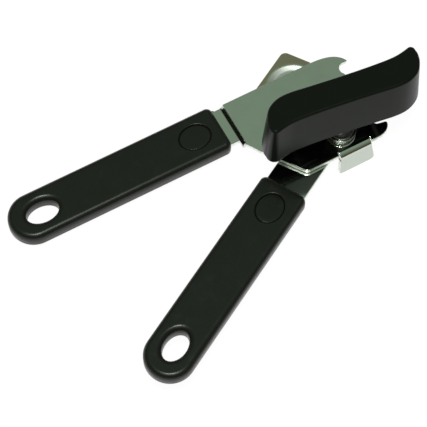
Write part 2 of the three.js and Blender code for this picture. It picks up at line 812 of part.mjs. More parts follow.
function turnKey() {
  const ribFoot = 3; // the ribs stop short of the rim
  const rib = (x) => toSolid(
    new THREE.BoxGeometry(keyRibWidth, 4 * keyHalfWidth, keyHeight)
      .translate(x, 0, keyRim + keyHeight / 2 + ribFoot),
  );
  const shaft = keyMiddle.clone().negate();
  const pockets = keyCavity()
    .subtract(bar(keyHubRadius, keyRim - 1, keyTop, shaft))
    .subtract(rib(keyRibPlace))
    .subtract(rib(-keyRibPlace));
  const socketTop = keyTop - keyRoof - 2;
  const journalSeat = keyBottom + 1 + seatGap;
  return keySkin()
    .subtract(pockets)
    .add(bar(keyHubRadius - 1, keyBottom, keyRim + 1, shaft))
    .subtract(bar(shaftRadius + turnGap, keyBottom - 1, journalSeat, shaft))
    .subtract(squareBar(shaftSquare + 2 * turnGap, keyBottom, socketTop, shaft));
}

// ---------------------------------------------------------------- assembly

function addPart(group, name, finish, solid) {
  const mesh = new THREE.Mesh(toGeometry(solid), new THREE.MeshStandardMaterial(finishes[finish]));
  mesh.name = name;
  group.add(mesh);
  return mesh;
}

function upperLever() {
  const lever = new THREE.Group();
  addPart(lever, 'upper_plate', 'chromedPlate', upperPlate());
  addPart(lever, 'upper_grip', 'blackPlastic', grip(upperOffset));
  addPart(lever, 'upper_grip_inlay', 'blackInlay', inlay(upperOffset));
  addPart(lever, 'pivot_rivet', 'brightSteel', pivotRivet());
  addPart(lever, 'pivot_washer', 'brightSteel', pivotWasher());
  addPart(lever, 'shaft_bushing', 'brightSteel', shaftBushing());
  return lever;
}

function lowerLever() {
  const lever = new THREE.Group();
  addPart(lever, 'lower_plate', 'chromedPlate', lowerPlate());
  addPart(lever, 'lower_grip', 'blackPlastic', grip(lowerOffset));
  addPart(lever, 'lower_grip_inlay', 'blackInlay', inlay(lowerOffset));
  addPart(lever, 'cutter_axle', 'brightSteel', cutterAxle());
  addPart(lever, 'cutter_spacer', 'brightSteel', cutterSpacer());
  addPart(lever, 'cutter_washer', 'brightSteel', cutterWasher());
  addPart(lever, 'cutting_wheel', 'hardenedSteel', cuttingWheel());
  lever.rotation.z = openingAngle * degrees;
  return lever;
}

function drive() {
  const train = new THREE.Group();
  const key = addPart(train, 'turn_key', 'blackPlastic', turnKey());
  const middle = keyMiddle.clone().rotateAround(pivot, keyAngle * degrees).add(driveCentre);
  key.position.set(middle.x, middle.y, 0);
  key.rotation.z = keyAngle * degrees;
  addPart(train, 'key_collar', 'brightSteel', keyCollar());
  addPart(train, 'thrust_washer', 'brightSteel', thrustWasher());
  addPart(train, 'drive_shaft', 'brightSteel', driveShaft());
  addPart(train, 'feed_wheel', 'hardenedSteel', feedWheel());
  addPart(train, 'end_washer', 'brightSteel', endWasher());
  addPart(train, 'wheel_nut', 'brightSteel', wheelNut());
  return train;
}

const canOpener = new THREE.Group();
canOpener.add(upperLever(), lowerLever(), drive());

export default canOpener;
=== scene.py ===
import bpy
import math
from mathutils import Matrix, Vector


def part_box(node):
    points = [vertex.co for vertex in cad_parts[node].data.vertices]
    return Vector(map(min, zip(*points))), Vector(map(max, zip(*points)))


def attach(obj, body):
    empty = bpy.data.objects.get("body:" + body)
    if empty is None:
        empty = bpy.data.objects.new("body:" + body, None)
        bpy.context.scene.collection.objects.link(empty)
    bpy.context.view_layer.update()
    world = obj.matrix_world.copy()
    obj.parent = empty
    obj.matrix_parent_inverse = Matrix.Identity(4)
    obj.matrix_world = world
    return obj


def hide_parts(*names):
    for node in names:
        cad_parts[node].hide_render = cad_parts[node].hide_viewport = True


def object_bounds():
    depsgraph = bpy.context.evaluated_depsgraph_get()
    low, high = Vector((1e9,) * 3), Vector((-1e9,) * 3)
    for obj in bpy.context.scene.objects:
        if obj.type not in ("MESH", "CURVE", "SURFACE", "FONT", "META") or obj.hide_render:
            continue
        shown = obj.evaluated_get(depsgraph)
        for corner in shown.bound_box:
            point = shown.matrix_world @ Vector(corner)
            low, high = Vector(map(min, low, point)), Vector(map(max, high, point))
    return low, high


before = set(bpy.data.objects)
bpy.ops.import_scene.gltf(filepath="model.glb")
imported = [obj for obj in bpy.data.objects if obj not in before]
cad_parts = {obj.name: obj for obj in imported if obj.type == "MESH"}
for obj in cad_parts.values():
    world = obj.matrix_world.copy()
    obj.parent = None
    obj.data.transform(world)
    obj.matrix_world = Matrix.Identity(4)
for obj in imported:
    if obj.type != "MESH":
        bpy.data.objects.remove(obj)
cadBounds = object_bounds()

mm = 0.001  # sizes below are in millimetres unless a note says otherwise

print("Frame loaded with", len(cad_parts), "nodes")


# Selecting and editing

def pickOnly(piece):
    bpy.ops.object.select_all(action="DESELECT")
    piece.select_set(True)
    bpy.context.view_layer.objects.active = piece


def startEdit(piece, kind="FACE"):
    pickOnly(piece)
    bpy.ops.object.mode_set(mode="EDIT")
    bpy.ops.mesh.select_mode(type=kind)
    bpy.ops.mesh.select_all(action="DESELECT")


def stopEdit():
    bpy.ops.object.mode_set(mode="OBJECT")


def pickFaces(piece, wanted):
    # call in edit mode; only the wanted faces end up selected
    bpy.ops.mesh.select_all(action="DESELECT")
    stopEdit()
    for face in piece.data.polygons:
        face.select = wanted(face)
    bpy.ops.object.mode_set(mode="EDIT")


def applyModifier(piece, kind, settings):
    pickOnly(piece)
    modifier = piece.modifiers.new(kind.title(), kind)
    for key, value in settings.items():
        setattr(modifier, key, value)
    bpy.ops.object.modifier_apply(modifier=modifier.name)


def roundEdges(piece, width, segments=3, over=30):
    # width in millimetres; only edges sharper than 'over' degrees are rounded
    applyModifier(piece, "BEVEL", {
        "width": width * mm,
        "segments": segments,
        "limit_method": "ANGLE",
        "angle_limit": math.radians(over),
        "use_clamp_overlap": False,
        "miter_outer": "MITER_ARC",
    })


def smoothShade(piece, upTo=40):
    pickOnly(piece)
    bpy.ops.object.shade_smooth_by_angle(angle=math.radians(upTo))
    applyModifier(piece, "WEIGHTED_NORMAL", {"keep_sharp": True, "weight": 60})


def turnOutwards(piece):
    startEdit(piece)
    bpy.ops.mesh.select_all(action="SELECT")
    bpy.ops.mesh.remove_doubles(threshold=0.001 * mm)
    bpy.ops.mesh.normals_make_consistent(inside=False)
    stopEdit()


def placeOf(node):
    # centre, size, lowest and highest corner of a CAD node, in millimetres
    low, high = (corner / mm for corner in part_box(node))
    return (low + high) / 2, high - low, low, high


def cleanCopy(node, name):
    # a merged copy of a CAD node, its flat faces whole again
    piece = bpy.data.objects.new(name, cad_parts[node].data.copy())
    bpy.context.scene.collection.objects.link(piece)
    piece.data.materials.clear()
    pickOnly(piece)
    bpy.ops.mesh.customdata_custom_splitnormals_clear()
    startEdit(piece)
    bpy.ops.mesh.select_all(action="SELECT")
    bpy.ops.mesh.remove_doubles(threshold=0.001 * mm)
    bpy.ops.mesh.dissolve_limited(angle_limit=math.radians(0.4))
    stopEdit()
    return piece


def turnedPiece(name, centre, profile, hollow=False, sides=72):
    # a solid turned about a vertical axis, from [radius, height] pairs that start at its foot
    radius, height = profile[0]
    bpy.ops.mesh.primitive_circle_add(
        vertices=sides,
        radius=radius * mm,
        fill_type="NOTHING" if hollow else "NGON",
        location=(centre.x * mm, centre.y * mm, height * mm),
    )
    piece = bpy.context.object
    piece.name = name
    bpy.ops.object.transform_apply(location=True, rotation=True, scale=True)
    startEdit(piece, "EDGE" if hollow else "FACE")
    bpy.ops.mesh.select_all(action="SELECT")
    steps = profile[1:] + profile[:1] if hollow else profile[1:]
    for nextRadius, nextHeight in steps:
        lift = (0, 0, (nextHeight - height) * mm)
        if hollow:
            bpy.ops.mesh.extrude_edges_move(TRANSFORM_OT_translate={"value": lift})
        else:
            bpy.ops.mesh.extrude_region_move(TRANSFORM_OT_translate={"value": lift})
        grow = nextRadius / radius
        bpy.ops.transform.resize(
            value=(grow, grow, 1),
            center_override=(centre.x * mm, centre.y * mm, 0),
        )
        radius, height = nextRadius, nextHeight
    stopEdit()
    turnOutwards(piece)
    return piece


def arcProfile(radius, height, reach, rise, steps):
    # quarter of an ellipse from the outside in, about the point (radius, height)
    turns = [math.pi / 2 * step / steps for step in range(steps + 1)]
    return [[radius + reach * math.cos(turn), height + rise * math.sin(turn)] for turn in turns]


def finish(piece, body, node, material):
    pickOnly(piece)
    bpy.ops.object.transform_apply(location=True, rotation=True, scale=True)
    piece.data.materials.clear()
    piece.data.materials.append(material)
    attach(piece, body)
    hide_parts(node)


# Shader maths as plain expressions

class Term:
    def __init__(self, recipe, socket):
        self.recipe = recipe
        self.socket = socket

    def joined(self, operation, first, second):
        return self.recipe.node("ShaderNodeMath", {"operation": operation}, {0: first, 1: second})

    def __add__(self, other):
        return self.joined("ADD", self, other)

    def __radd__(self, other):
        return self.joined("ADD", other, self)

    def __sub__(self, other):
        return self.joined("SUBTRACT", self, other)

    def __rsub__(self, other):
        return self.joined("SUBTRACT", other, self)

    def __mul__(self, other):
        return self.joined("MULTIPLY", self, other)

    def __truediv__(self, other):
        return self.joined("DIVIDE", self, other)


class Recipe:
    def __init__(self, name):
        self.material = bpy.data.materials.new(name)
        self.material.use_nodes = True
        self.tree = self.material.node_tree
        self.tree.nodes.clear()

    def node(self, kind, settings, sockets, output=0):
        made = self.tree.nodes.new(kind)
        for key, value in settings.items():
            if key == "stops":
                self.setStops(made.color_ramp, value)
            else:
                setattr(made, key, value)
        for key, value in sockets.items():
            if isinstance(value, Term):
                self.tree.links.new(value.socket, made.inputs[key])
            else:
                made.inputs[key].default_value = value
        return Term(self, made.outputs[output]) if made.outputs else None

    def setStops(self, ramp, stops):
        while len(ramp.elements) < len(stops):
            ramp.elements.new(1)
        for element, (place, level) in zip(ramp.elements, stops):
            element.position = place
            element.color = (level, level, level, 1)

    def place(self, shift=(0, 0, 0), turn=0, scale=(1, 1, 1)):
        # object coordinates in metres, moved and turned so that a pattern is centred on a piece
        coordinates = self.node("ShaderNodeTexCoord", {}, {}, "Object")
        moved = self.node("ShaderNodeVectorMath", {"operation": "SUBTRACT"}, {0: coordinates, 1: shift})
        return self.node("ShaderNodeMapping", {}, {
            "Vector": moved,
            "Rotation": (0, 0, -math.radians(turn)),
            "Scale": scale,
        })

    def reach(self, centre):
        # distance from a vertical axis, in metres; centre in millimetres
        where = self.place(shift=(centre.x * mm, centre.y * mm, 0))
        flat = self.node("ShaderNodeVectorMath", {"operation": "MULTIPLY"}, {0: where, 1: (1, 1, 0)})
        return self.node("ShaderNodeVectorMath", {"operation": "LENGTH"}, {0: flat}, "Value")

    def faded(self, value, start, end):
        # 0 up to start, 1 from end on
        return self.node("ShaderNodeMapRange", {"interpolation_type": "SMOOTHSTEP"}, {
            "Value": value, "From Min": start, "From Max": end,
        }, "Result")

    def noise(self, where, size, detail=2.0, roughness=0.5):
        # size of a blotch, in millimetres
        return self.node("ShaderNodeTexNoise", {}, {
            "Vector": where, "Scale": 1 / (size * mm), "Detail": detail, "Roughness": roughness,
        }, "Fac")

    def ramp(self, value, stops):
        return self.node("ShaderNodeValToRGB", {"stops": stops}, {"Fac": value}, "Color")

    def mixed(self, share, first, second):
        # colours
        return self.node("ShaderNodeMix", {"data_type": "RGBA"}, {0: share, 6: first, 7: second}, 2)

    def bumps(self, layers):
        # [height, depth in millimetres] pairs, one over the other
        normal = None
        for height, depth in layers:
            sockets = {"Height": height, "Strength": 1.0, "Distance": depth * mm}
            if normal:
                sockets["Normal"] = normal
            normal = self.node("ShaderNodeBump", {}, sockets)
        return normal

    def surface(self, sockets):
        shader = self.node("ShaderNodeBsdfPrincipled", {}, sockets)
        self.node("ShaderNodeOutputMaterial", {}, {"Surface": shader})
        return self.material


plasticLook = {
    "colour": (0.0078, 0.0091, 0.0069, 1),
    "wornColour": (0.0109, 0.0128, 0.0099, 1),
    "roughness": 0.25,
    "shine": 0.27,  # how strongly it mirrors, 0.5 for common plastic
    "shineTint": (0.95, 1.0, 0.91, 1),
    "grain": 0.22,  # size of the mould's spark grain
    "grainDepth": 0.0035,
    "ripple": 14,
    "rippleDepth": 0.012,
    "rub": 5.5,  # size of a rubbed patch
    "hair": 0.35,  # width of a hairline scratch
}


def satinPlastic(name, turn=0, look=plasticLook):
    recipe = Recipe(name)
    where = recipe.place(turn=turn)
    along = recipe.place(turn=turn, scale=(0.08, 1, 1))
    grain = recipe.noise(where, look["grain"], 3.0)
    cloud = recipe.noise(where, look["ripple"], 3.0)
    rubbed = recipe.ramp(recipe.noise(where, look["rub"], 5.0, 0.7), [(0.52, 0), (0.74, 1)])
    hairs = recipe.ramp(recipe.noise(along, look["hair"], 2.0), [(0.66, 0), (0.72, 1)])
    colour = recipe.mixed(cloud * 0.45 + rubbed * 0.35, look["colour"], look["wornColour"])
    roughness = look["roughness"] + cloud * 0.06 + rubbed * 0.09 + hairs * 0.05
    return recipe.surface({
        "Base Color": colour,
        "Roughness": roughness,
        "Normal": recipe.bumps([[cloud, look["rippleDepth"]], [grain, look["grainDepth"]]]),
        "Specular IOR Level": look["shine"],
        "Specular Tint": look["shineTint"],
    })


chromeLook = {
    "colour": (0.60, 0.645, 0.585, 1),
    "hazeColour": (0.53, 0.565, 0.505, 1),
    "rimColour": (0.72, 0.76, 0.71, 1),  # seen at a shallow angle
    "roughness": 0.07,
    "haze": 9.0,  # size of a hazy patch
    "dent": 22,  # size of the sheet's slow waves
    "dentDepth": 0.006,
    "brush": 0.3,
    "brushDepth": 0.0004,
    "scratch": 0.5,
    "scratchTurn": 23,  # degrees from the sheet's length
}


dishLook = {
    "paintedReflectionBrown": (0.47, 0.36, 0.25, 1),  # painted reflection: a straw-brown band that stands in for the room reflected round the dish
    "starts": 11.0,  # from the dish's centre, as are the next three
    "full": 13.8,
    "ends": 19.0,
    "gone": 22.0,
    "haze": 0.42,
    # painted shade: the dish's floor is painted darker than the sheet, to dim the lamp's reflection
    # there
    "floorColour": (0.44, 0.475, 0.43, 1),
}


def chromedSheet(name, turn=0, look=chromeLook, dish=None):
    # 'dish' is the centre of a pressed dish, in millimetres, with a painted reflection (a straw-brown
    # band) round it and painted shade on its floor
    recipe = Recipe(name)
    where = recipe.place(turn=turn)
    rolled = recipe.place(turn=turn, scale=(0.03, 1, 1))
    waves = recipe.noise(where, look["dent"], 1.0)
    lines = recipe.noise(rolled, look["brush"], 3.0, 0.6)
    haze = recipe.ramp(recipe.noise(where, look["haze"], 6.0, 0.65), [(0.45, 0), (0.8, 1)])
    slanted = recipe.place(turn=turn + look["scratchTurn"], scale=(0.02, 1, 1))
    scratches = recipe.ramp(recipe.noise(slanted, look["scratch"], 1.0), [(0.7, 0), (0.74, 1)])
    colour = recipe.mixed(haze * 0.55 + scratches * 0.25, look["colour"], look["hazeColour"])
    roughness = look["roughness"] + haze * 0.05 + lines * 0.04 + scratches * 0.1
    if dish:
        reach = recipe.reach(dish) / mm
        far = recipe.faded(reach, dishLook["starts"], dishLook["full"])
        gone = recipe.faded(reach, dishLook["ends"], dishLook["gone"])
        # painted reflection: a straw-brown band round the dish
        colour = recipe.mixed(far * (1 - gone) * (0.7 + waves * 0.3), colour, dishLook["paintedReflectionBrown"])
        # painted shade: the darker dish floor dims the lamp's reflection in it
        colour = recipe.mixed(far, dishLook["floorColour"], colour)
        roughness = roughness + (1 - far) * dishLook["haze"]
    return recipe.surface({
        "Base Color": colour,
        "Metallic": 1.0,
        "Roughness": roughness,
        "Specular Tint": look["rimColour"],
        "Normal": recipe.bumps([[waves, look["dentDepth"]], [lines, look["brushDepth"]]]),
    })


edgeLook = {
    "colour": (0.84, 0.87, 0.82, 1),
    "tornColour": (0.56, 0.585, 0.54, 1),
    "roughness": 0.3,
    "tear": 0.5,
    "tearDepth": 0.01,
}


def shearedEdge(name, look=edgeLook):
    # burnished where the punch cut, torn below
    recipe = Recipe(name)
    upright = recipe.place(scale=(1, 1, 0.35))
    tear = recipe.noise(upright, look["tear"], 4.0, 0.7)
    torn = recipe.ramp(tear, [(0.46, 0), (0.6, 1)])
    return recipe.surface({
        "Base Color": recipe.mixed(torn, look["colour"], look["tornColour"]),
        "Metallic": 1.0,
        "Roughness": look["roughness"] + torn * 0.15,
        "Normal": recipe.bumps([[tear, look["tearDepth"]]]),
    })


steelLook = {
    "colour": (0.63, 0.655, 0.62, 1),
    "dullColour": (0.46, 0.475, 0.45, 1),
    "roughness": 0.13,
    "ringPitch": 0.35,  # between two marks of the turning tool
    "ringDepth": 0.0012,
    "stain": 3.2,
    "fine": 0.25,
}


def turnedSteel(name, centre, look=steelLook):
    # tool marks run round the piece's own axis; centre in millimetres
    recipe = Recipe(name)
    where = recipe.place(shift=(centre.x * mm, centre.y * mm, 0))
    rings = recipe.node("ShaderNodeTexWave", {"wave_type": "RINGS", "rings_direction": "Z"}, {
        "Vector": where, "Scale": 1 / (20 * look["ringPitch"] * mm), "Distortion": 0.6, "Detail": 1.0,
    }, "Fac")
    stain = recipe.ramp(recipe.noise(where, look["stain"], 5.0, 0.65), [(0.45, 0), (0.75, 1)])
    fine = recipe.noise(where, look["fine"], 2.0)
    return recipe.surface({
        "Base Color": recipe.mixed(stain * 0.6 + rings * 0.12, look["colour"], look["dullColour"]),
        "Metallic": 1.0,
        "Roughness": look["roughness"] + stain * 0.1 + rings * 0.05 + fine * 0.04,
        "Normal": recipe.bumps([[rings, look["ringDepth"]], [fine, look["ringDepth"] / 2]]),
    })


hardLook = {
    "colour": (0.47, 0.48, 0.455, 1),
    "temperColour": (0.30, 0.30, 0.285, 1),
    "groundColour": (0.66, 0.67, 0.64, 1),
    "roughness": 0.24,
    "grindPitch": 0.3,
    "grindDepth": 0.003,
    "groundBlend": 0.15,  # half the width over which the ground face begins
    "blotch": 2.6,
}


def hardenedSteel(name, centre, groundFrom, look=hardLook):
    # tempered grey in the middle, freshly ground outside the radius 'groundFrom'
    recipe = Recipe(name)
    where = recipe.place(shift=(centre.x * mm, centre.y * mm, 0))
    blend = look["groundBlend"]
    ground = recipe.faded(recipe.reach(centre) / mm, groundFrom - blend, groundFrom + blend)
    blotch = recipe.ramp(recipe.noise(where, look["blotch"], 5.0, 0.6), [(0.4, 0), (0.7, 1)])
    fine = recipe.noise(where, look["grindPitch"], 3.0, 0.65)
    dull = recipe.mixed(blotch * 0.7, look["colour"], look["temperColour"])
    return recipe.surface({
        "Base Color": recipe.mixed(ground * (0.65 + fine * 0.35), dull, look["groundColour"]),
        "Metallic": 1.0,
        "Roughness": look["roughness"] + blotch * 0.1 + fine * 0.08 - ground * 0.06,
        "Normal": recipe.bumps([[fine, look["grindDepth"]]]),
    })


# Measures that several pieces share

pivot = Vector((0, 0, 0))
driveCentre = placeOf("key_collar")[0]
cutterCentre = placeOf("cutting_wheel")[0]
openingAngle = 29.05  # degrees between the two levers at rest
keyAngle = -7.8
seatGap = 0.2  # between faces that rest on each other
ringEdge = 0.12  # softening of a stamped ring's rims
bores = {"pivot": 3.2, "axle": 2.8, "shaft": 3.7, "thread": 2.5}  # radii, a running fit round each

blackUpper = satinPlastic("satinPlasticUpper")
blackLower = satinPlastic("satinPlasticLower", openingAngle)
blackKey = satinPlastic("satinPlasticKey", keyAngle, plasticLook | {
    "colour": (0.0053, 0.0072, 0.0050, 1),
    "wornColour": (0.0068, 0.0088, 0.0063, 1),
    "roughness": 0.27,
    "shine": 0.08,
    "ripple": 19,
})
inlayLook = plasticLook | {"roughness": 0.2, "grainDepth": 0.001, "ripple": 7, "rippleDepth": 0.004}
blackInlay = satinPlastic("smoothPlasticInlay", 0, inlayLook)
plateUpper = chromedSheet("chromedSheetUpper")
dishInLever = Vector((12.5, 10.5, 0))  # with the lower lever turned to lie along X
dishCentre = Matrix.Rotation(math.radians(openingAngle), 3, "Z") @ dishInLever
plateLower = chromedSheet("chromedSheetLower", openingAngle, chromeLook, dishCentre)
steelPivot = turnedSteel("turnedSteelPivot", pivot)
steelDrive = turnedSteel("turnedSteelDrive", driveCentre)
steelAxle = turnedSteel("turnedSteelAxle", cutterCentre)
# painted shade: the collar's steel is painted darker, standing in for the key's shade and the key's
# dark underside mirrored in it
steelCollarPaintedShade = turnedSteel("turnedSteelCollarPaintedShade", driveCentre, steelLook | {
    "colour": (0.33, 0.345, 0.32, 1),
    "dullColour": (0.24, 0.25, 0.235, 1),
})
print("Materials ready")


# Handles

gripMake = {
    "flashHeight": 0.05,  # how proud the mould's parting line stands
    "flashWidth": 0.14,
    "rimEdge": 0.45,  # rounding of the inlay's recess and the slot's mouth
}


def mouldedGrip(side, body, material):
    node = side + "_grip"
    grip = cleanCopy(node, side + "Grip")
    centre = placeOf(node)[0]
    startEdit(grip)
    for shift in (-gripMake["flashWidth"], gripMake["flashWidth"], 0):
        bpy.ops.mesh.select_all(action="SELECT")
        bpy.ops.mesh.bisect(plane_co=(0, 0, (centre.z + shift) * mm), plane_no=(0, 0, 1))
    bpy.ops.transform.shrink_fatten(value=gripMake["flashHeight"] * mm)
    stopEdit()
    roundEdges(grip, gripMake["rimEdge"], 3, 50)
    smoothShade(grip, 36)
    finish(grip, body, node, material)


inlayMake = {
    "chamfer": 0.3,
    "crownFrom": 1.5,  # from the rim in to the flat of the shallow crown
    "crown": 0.12,
    "softening": 0.08,
}


def ovalInlay(side, body, turn, material):
    node = side + "_grip_inlay"
    centre, size, low = placeOf(node)[:3]
    straight = placeOf("upper_grip_inlay")[1]  # this one lies along X
    chamfer, crown = inlayMake["chamfer"], inlayMake["crown"]
    bpy.ops.mesh.primitive_circle_add(
        vertices=96, radius=straight.x / 2 * mm, fill_type="NGON", location=(0, 0, 0),
    )
    inlay = bpy.context.object
    inlay.name = side + "Inlay"
    startEdit(inlay)
    bpy.ops.mesh.select_all(action="SELECT")
    bpy.ops.transform.resize(value=(1, straight.y / straight.x, 1), center_override=(0, 0, 0))
    wall = size.z - chamfer - crown
    bpy.ops.mesh.extrude_region_move(TRANSFORM_OT_translate={"value": (0, 0, wall * mm)})
    bpy.ops.mesh.inset(thickness=chamfer * mm, depth=chamfer * mm)
    bpy.ops.mesh.inset(thickness=inlayMake["crownFrom"] * mm, depth=crown * mm)
    bpy.ops.mesh.normals_make_consistent(inside=False)
    stopEdit()
    inlay.rotation_euler.z = math.radians(turn)
    inlay.location = (centre.x * mm, centre.y * mm, low.z * mm)
    pickOnly(inlay)
    bpy.ops.object.transform_apply(location=True, rotation=True, scale=True)
    roundEdges(inlay, inlayMake["softening"], 2, 20)
    smoothShade(inlay, 25)
    finish(inlay, body, node, material)


mouldedGrip("upper", "upper_lever", blackUpper)
mouldedGrip("lower", "lower_lever", blackLower)
ovalInlay("upper", "upper_lever", 0, blackInlay)
ovalInlay("lower", "lower_lever", openingAngle, blackInlay)
print("Handles made")


# Plates

plateMake = {
    "stampedEdge": 0.32,  # rounding that the press leaves on a sheet's edges
    "tabFrom": 5.8,  # along X, where the guide tab's broad faces lie
    "tabTo": 24.8,
    "tabBehind": -23.9,  # along Y
}


def isShearedFace(face):
    # upright faces, less the two broad faces of the bent-down guide tab
    if abs(face.normal.z) > 0.3:
        return False
    place = face.center / mm
    beside = plateMake["tabFrom"] < place.x < plateMake["tabTo"] and place.y < plateMake["tabBehind"]
    return not (beside and abs(face.normal.y) > 0.5)


def pressedPlate(side, body, material, edgeMaterial):
    # the sheet's faces are bright, its sheared edges duller
    node = side + "_plate"
    plate = cleanCopy(node, side + "Plate")
    roundEdges(plate, plateMake["stampedEdge"], 3, 50)
    smoothShade(plate, 34)
    finish(plate, body, node, material)
    plate.data.materials.append(edgeMaterial)
    startEdit(plate)
    pickFaces(plate, isShearedFace)
    plate.active_material_index = 1
    bpy.ops.object.material_slot_assign()
    stopEdit()


pressedPlate("upper", "upper_lever", plateUpper, shearedEdge("shearedEdgeUpper"))
pressedPlate("lower", "lower_lever", plateLower, shearedEdge("shearedEdgeLower"))
print("Plates made")


# Pivot, bushing and their washers

rivetMake = {
    "dimple": 1.5,  # radius of the centre mark that the riveting punch leaves
    "dimpleDepth": 0.25,
    "headOver": 2.2,  # how far the heads stand out over the shank
    "headEdge": 0.3,  # straight wall under the dome
    "domeWidth": 1.6,
    "domeSteps": 6,
}
bushingMake = {"flange": 0.6, "flangeOver": 1}


def pivotRivet():
    size, low, high = placeOf("pivot_rivet")[1:]
    head = size.x / 2
    shank = head - rivetMake["headOver"]
    upperFace = placeOf("upper_plate")[3].z + seatGap
    lowerFace = placeOf("pivot_washer")[2].z - seatGap
    dimple, deep, edge = rivetMake["dimple"], rivetMake["dimpleDepth"], rivetMake["headEdge"]
    width, steps = rivetMake["domeWidth"], rivetMake["domeSteps"]
    dome = arcProfile(head - width, upperFace + edge, width, high.z - upperFace - edge, steps)
    foot = arcProfile(head - width, lowerFace - edge, width, low.z - lowerFace + edge, steps)
    profile = [
        [dimple * 0.6, low.z + deep],
        [dimple, low.z],
        *reversed(foot),
        [head, lowerFace],
        [shank, lowerFace],
        [shank, upperFace],
        [head, upperFace],
        *dome,
        [dimple, high.z],
        [dimple * 0.6, high.z - deep],
    ]
    rivet = turnedPiece("pivotRivet", pivot, profile)
    smoothShade(rivet, 40)
    finish(rivet, "upper_lever", "pivot_rivet", steelPivot)


def plainRing(name, node, body, centre, bore, material):
    # a stamped washer with softened edges
    size, low, high = placeOf(node)[1:]
    outer = size.x / 2
    washer = turnedPiece(name, centre, [
        [bore, low.z], [outer, low.z], [outer, high.z], [bore, high.z],
    ], hollow=True)
    roundEdges(washer, min(ringEdge, size.z / 4), 3, 40)
    smoothShade(washer, 40)
    finish(washer, body, node, material)


def shaftBushing():
    size, low, high = placeOf("shaft_bushing")[1:]
    outer = size.x / 2
    barrel = outer - bushingMake["flangeOver"]
    bore = bores["shaft"]
    underFlange = high.z - bushingMake["flange"]
    bushing = turnedPiece("shaftBushing", driveCentre, [
        [bore, low.z], [barrel, low.z], [barrel, underFlange], [outer, underFlange],
        [outer, high.z], [bore, high.z],
    ], hollow=True)
    roundEdges(bushing, ringEdge, 3, 40)
    smoothShade(bushing, 40)
    finish(bushing, "upper_lever", "shaft_bushing", steelDrive)


pivotRivet()
plainRing("pivotWasher", "pivot_washer", "upper_lever", pivot, bores["pivot"], steelPivot)
shaftBushing()
print("Pivot made")


# Cutting wheel and its axle

cutterMake = {
    "bevelWidth": 3.2,
    "hubRadius": 5.4,
    "hubStep": 0.12,
    "honeWidth": 0.9,  # second, steeper grind beside the edge
    "honeDepth": 0.52,
    "edgeTop": 0.04,  # the blunt edge's two rims, below the upper face
    "edgeFoot": 0.12,
    "topChamfer": 0.5,
}
axleMake = {
    "mark": 1.3,  # radius of the lathe centre's mark
    "markFloor": 0.9,
    "markDepth": 0.3,
    "headOver": 2.2,
    "headEdge": 0.35,
    "domeWidth": 1.9,
    "peenOver": 0.9,  # how far the peened end stands out over the shank
    "peenHeight": 0.8,
    "peenWidth": 0.8,
    "peenRise": 0.35,
    "peenMark": 0.6,
    "peenMarkDepth": 0.15,
}


def cuttingWheel():
    size, low, high = placeOf("cutting_wheel")[1:]
    outer = size.x / 2
    shoulder = outer - cutterMake["bevelWidth"]
    hub, step, bore = cutterMake["hubRadius"], cutterMake["hubStep"], bores["axle"]
    wheel = turnedPiece("cuttingWheel", cutterCentre, [
        [bore, low.z],
        [hub, low.z],
        [hub + step, low.z + step],
        [shoulder, low.z + step],
        [outer - cutterMake["honeWidth"], high.z - cutterMake["honeDepth"]],
        [outer, high.z - cutterMake["edgeFoot"]],
        [outer, high.z - cutterMake["edgeTop"]],
        [outer - cutterMake["topChamfer"], high.z],
        [bore, high.z],
    ], hollow=True, sides=120)
    smoothShade(wheel, 12)
    material = hardenedSteel("hardenedSteelCutter", cutterCentre, shoulder)
    finish(wheel, "cutter", "cutting_wheel", material)


def cutterAxle():
    size, low, high = placeOf("cutter_axle")[1:]
    make = axleMake
    head = size.x / 2
    headTop = placeOf("cutter_washer")[2].z - seatGap
    shank = head - make["headOver"]
    peened = shank + make["peenOver"]
    peenFoot = placeOf("lower_plate")[3].z - make["peenHeight"]
    width, edge = make["domeWidth"], make["headEdge"]
    reach, rise = make["peenWidth"], make["peenRise"]
    profile = [
        [make["markFloor"], low.z + make["markDepth"]],
        [make["mark"], low.z],
        *reversed(arcProfile(head - width, headTop - edge, width, low.z - headTop + edge, 6)),
        [head, headTop],
        [shank, headTop],
        [shank, peenFoot],
        [peened, peenFoot],
        *arcProfile(peened - reach, high.z - rise, reach, rise, 4),
        [make["markFloor"], high.z],
        [make["peenMark"], high.z - make["peenMarkDepth"]],
    ]
    axle = turnedPiece("cutterAxle", cutterCentre, profile)
    smoothShade(axle, 40)
    finish(axle, "lower_lever", "cutter_axle", steelAxle)


cuttingWheel()
cutterAxle()
plainRing("cutterSpacer", "cutter_spacer", "lower_lever", cutterCentre, bores["axle"], steelAxle)
plainRing("cutterWasher", "cutter_washer", "lower_lever", cutterCentre, bores["axle"], steelAxle)
print("Cutting wheel made")


# Drive: key, collar, shaft and feed wheel

def turnKey():
    key = cleanCopy("turn_key", "turnKey")
    smoothShade(key, 32)
    finish(key, "drive", "turn_key", blackKey)


collarMake = {
    "rimThickness": 0.9,
    "rimRound": 0.3,
    "neckInset": 1.1,
    "neckFillet": 0.3,
    "filletMiddle": 0.08,  # how far the fillet's middle point lies off the corner
    "topChamfer": 0.15,
}
driveMake = {
    "shaftEdge": 0.12,
    "toothEdge": 0.07,
    "toothDepth": 0.8,
    "nutEdge": 0.28,
}


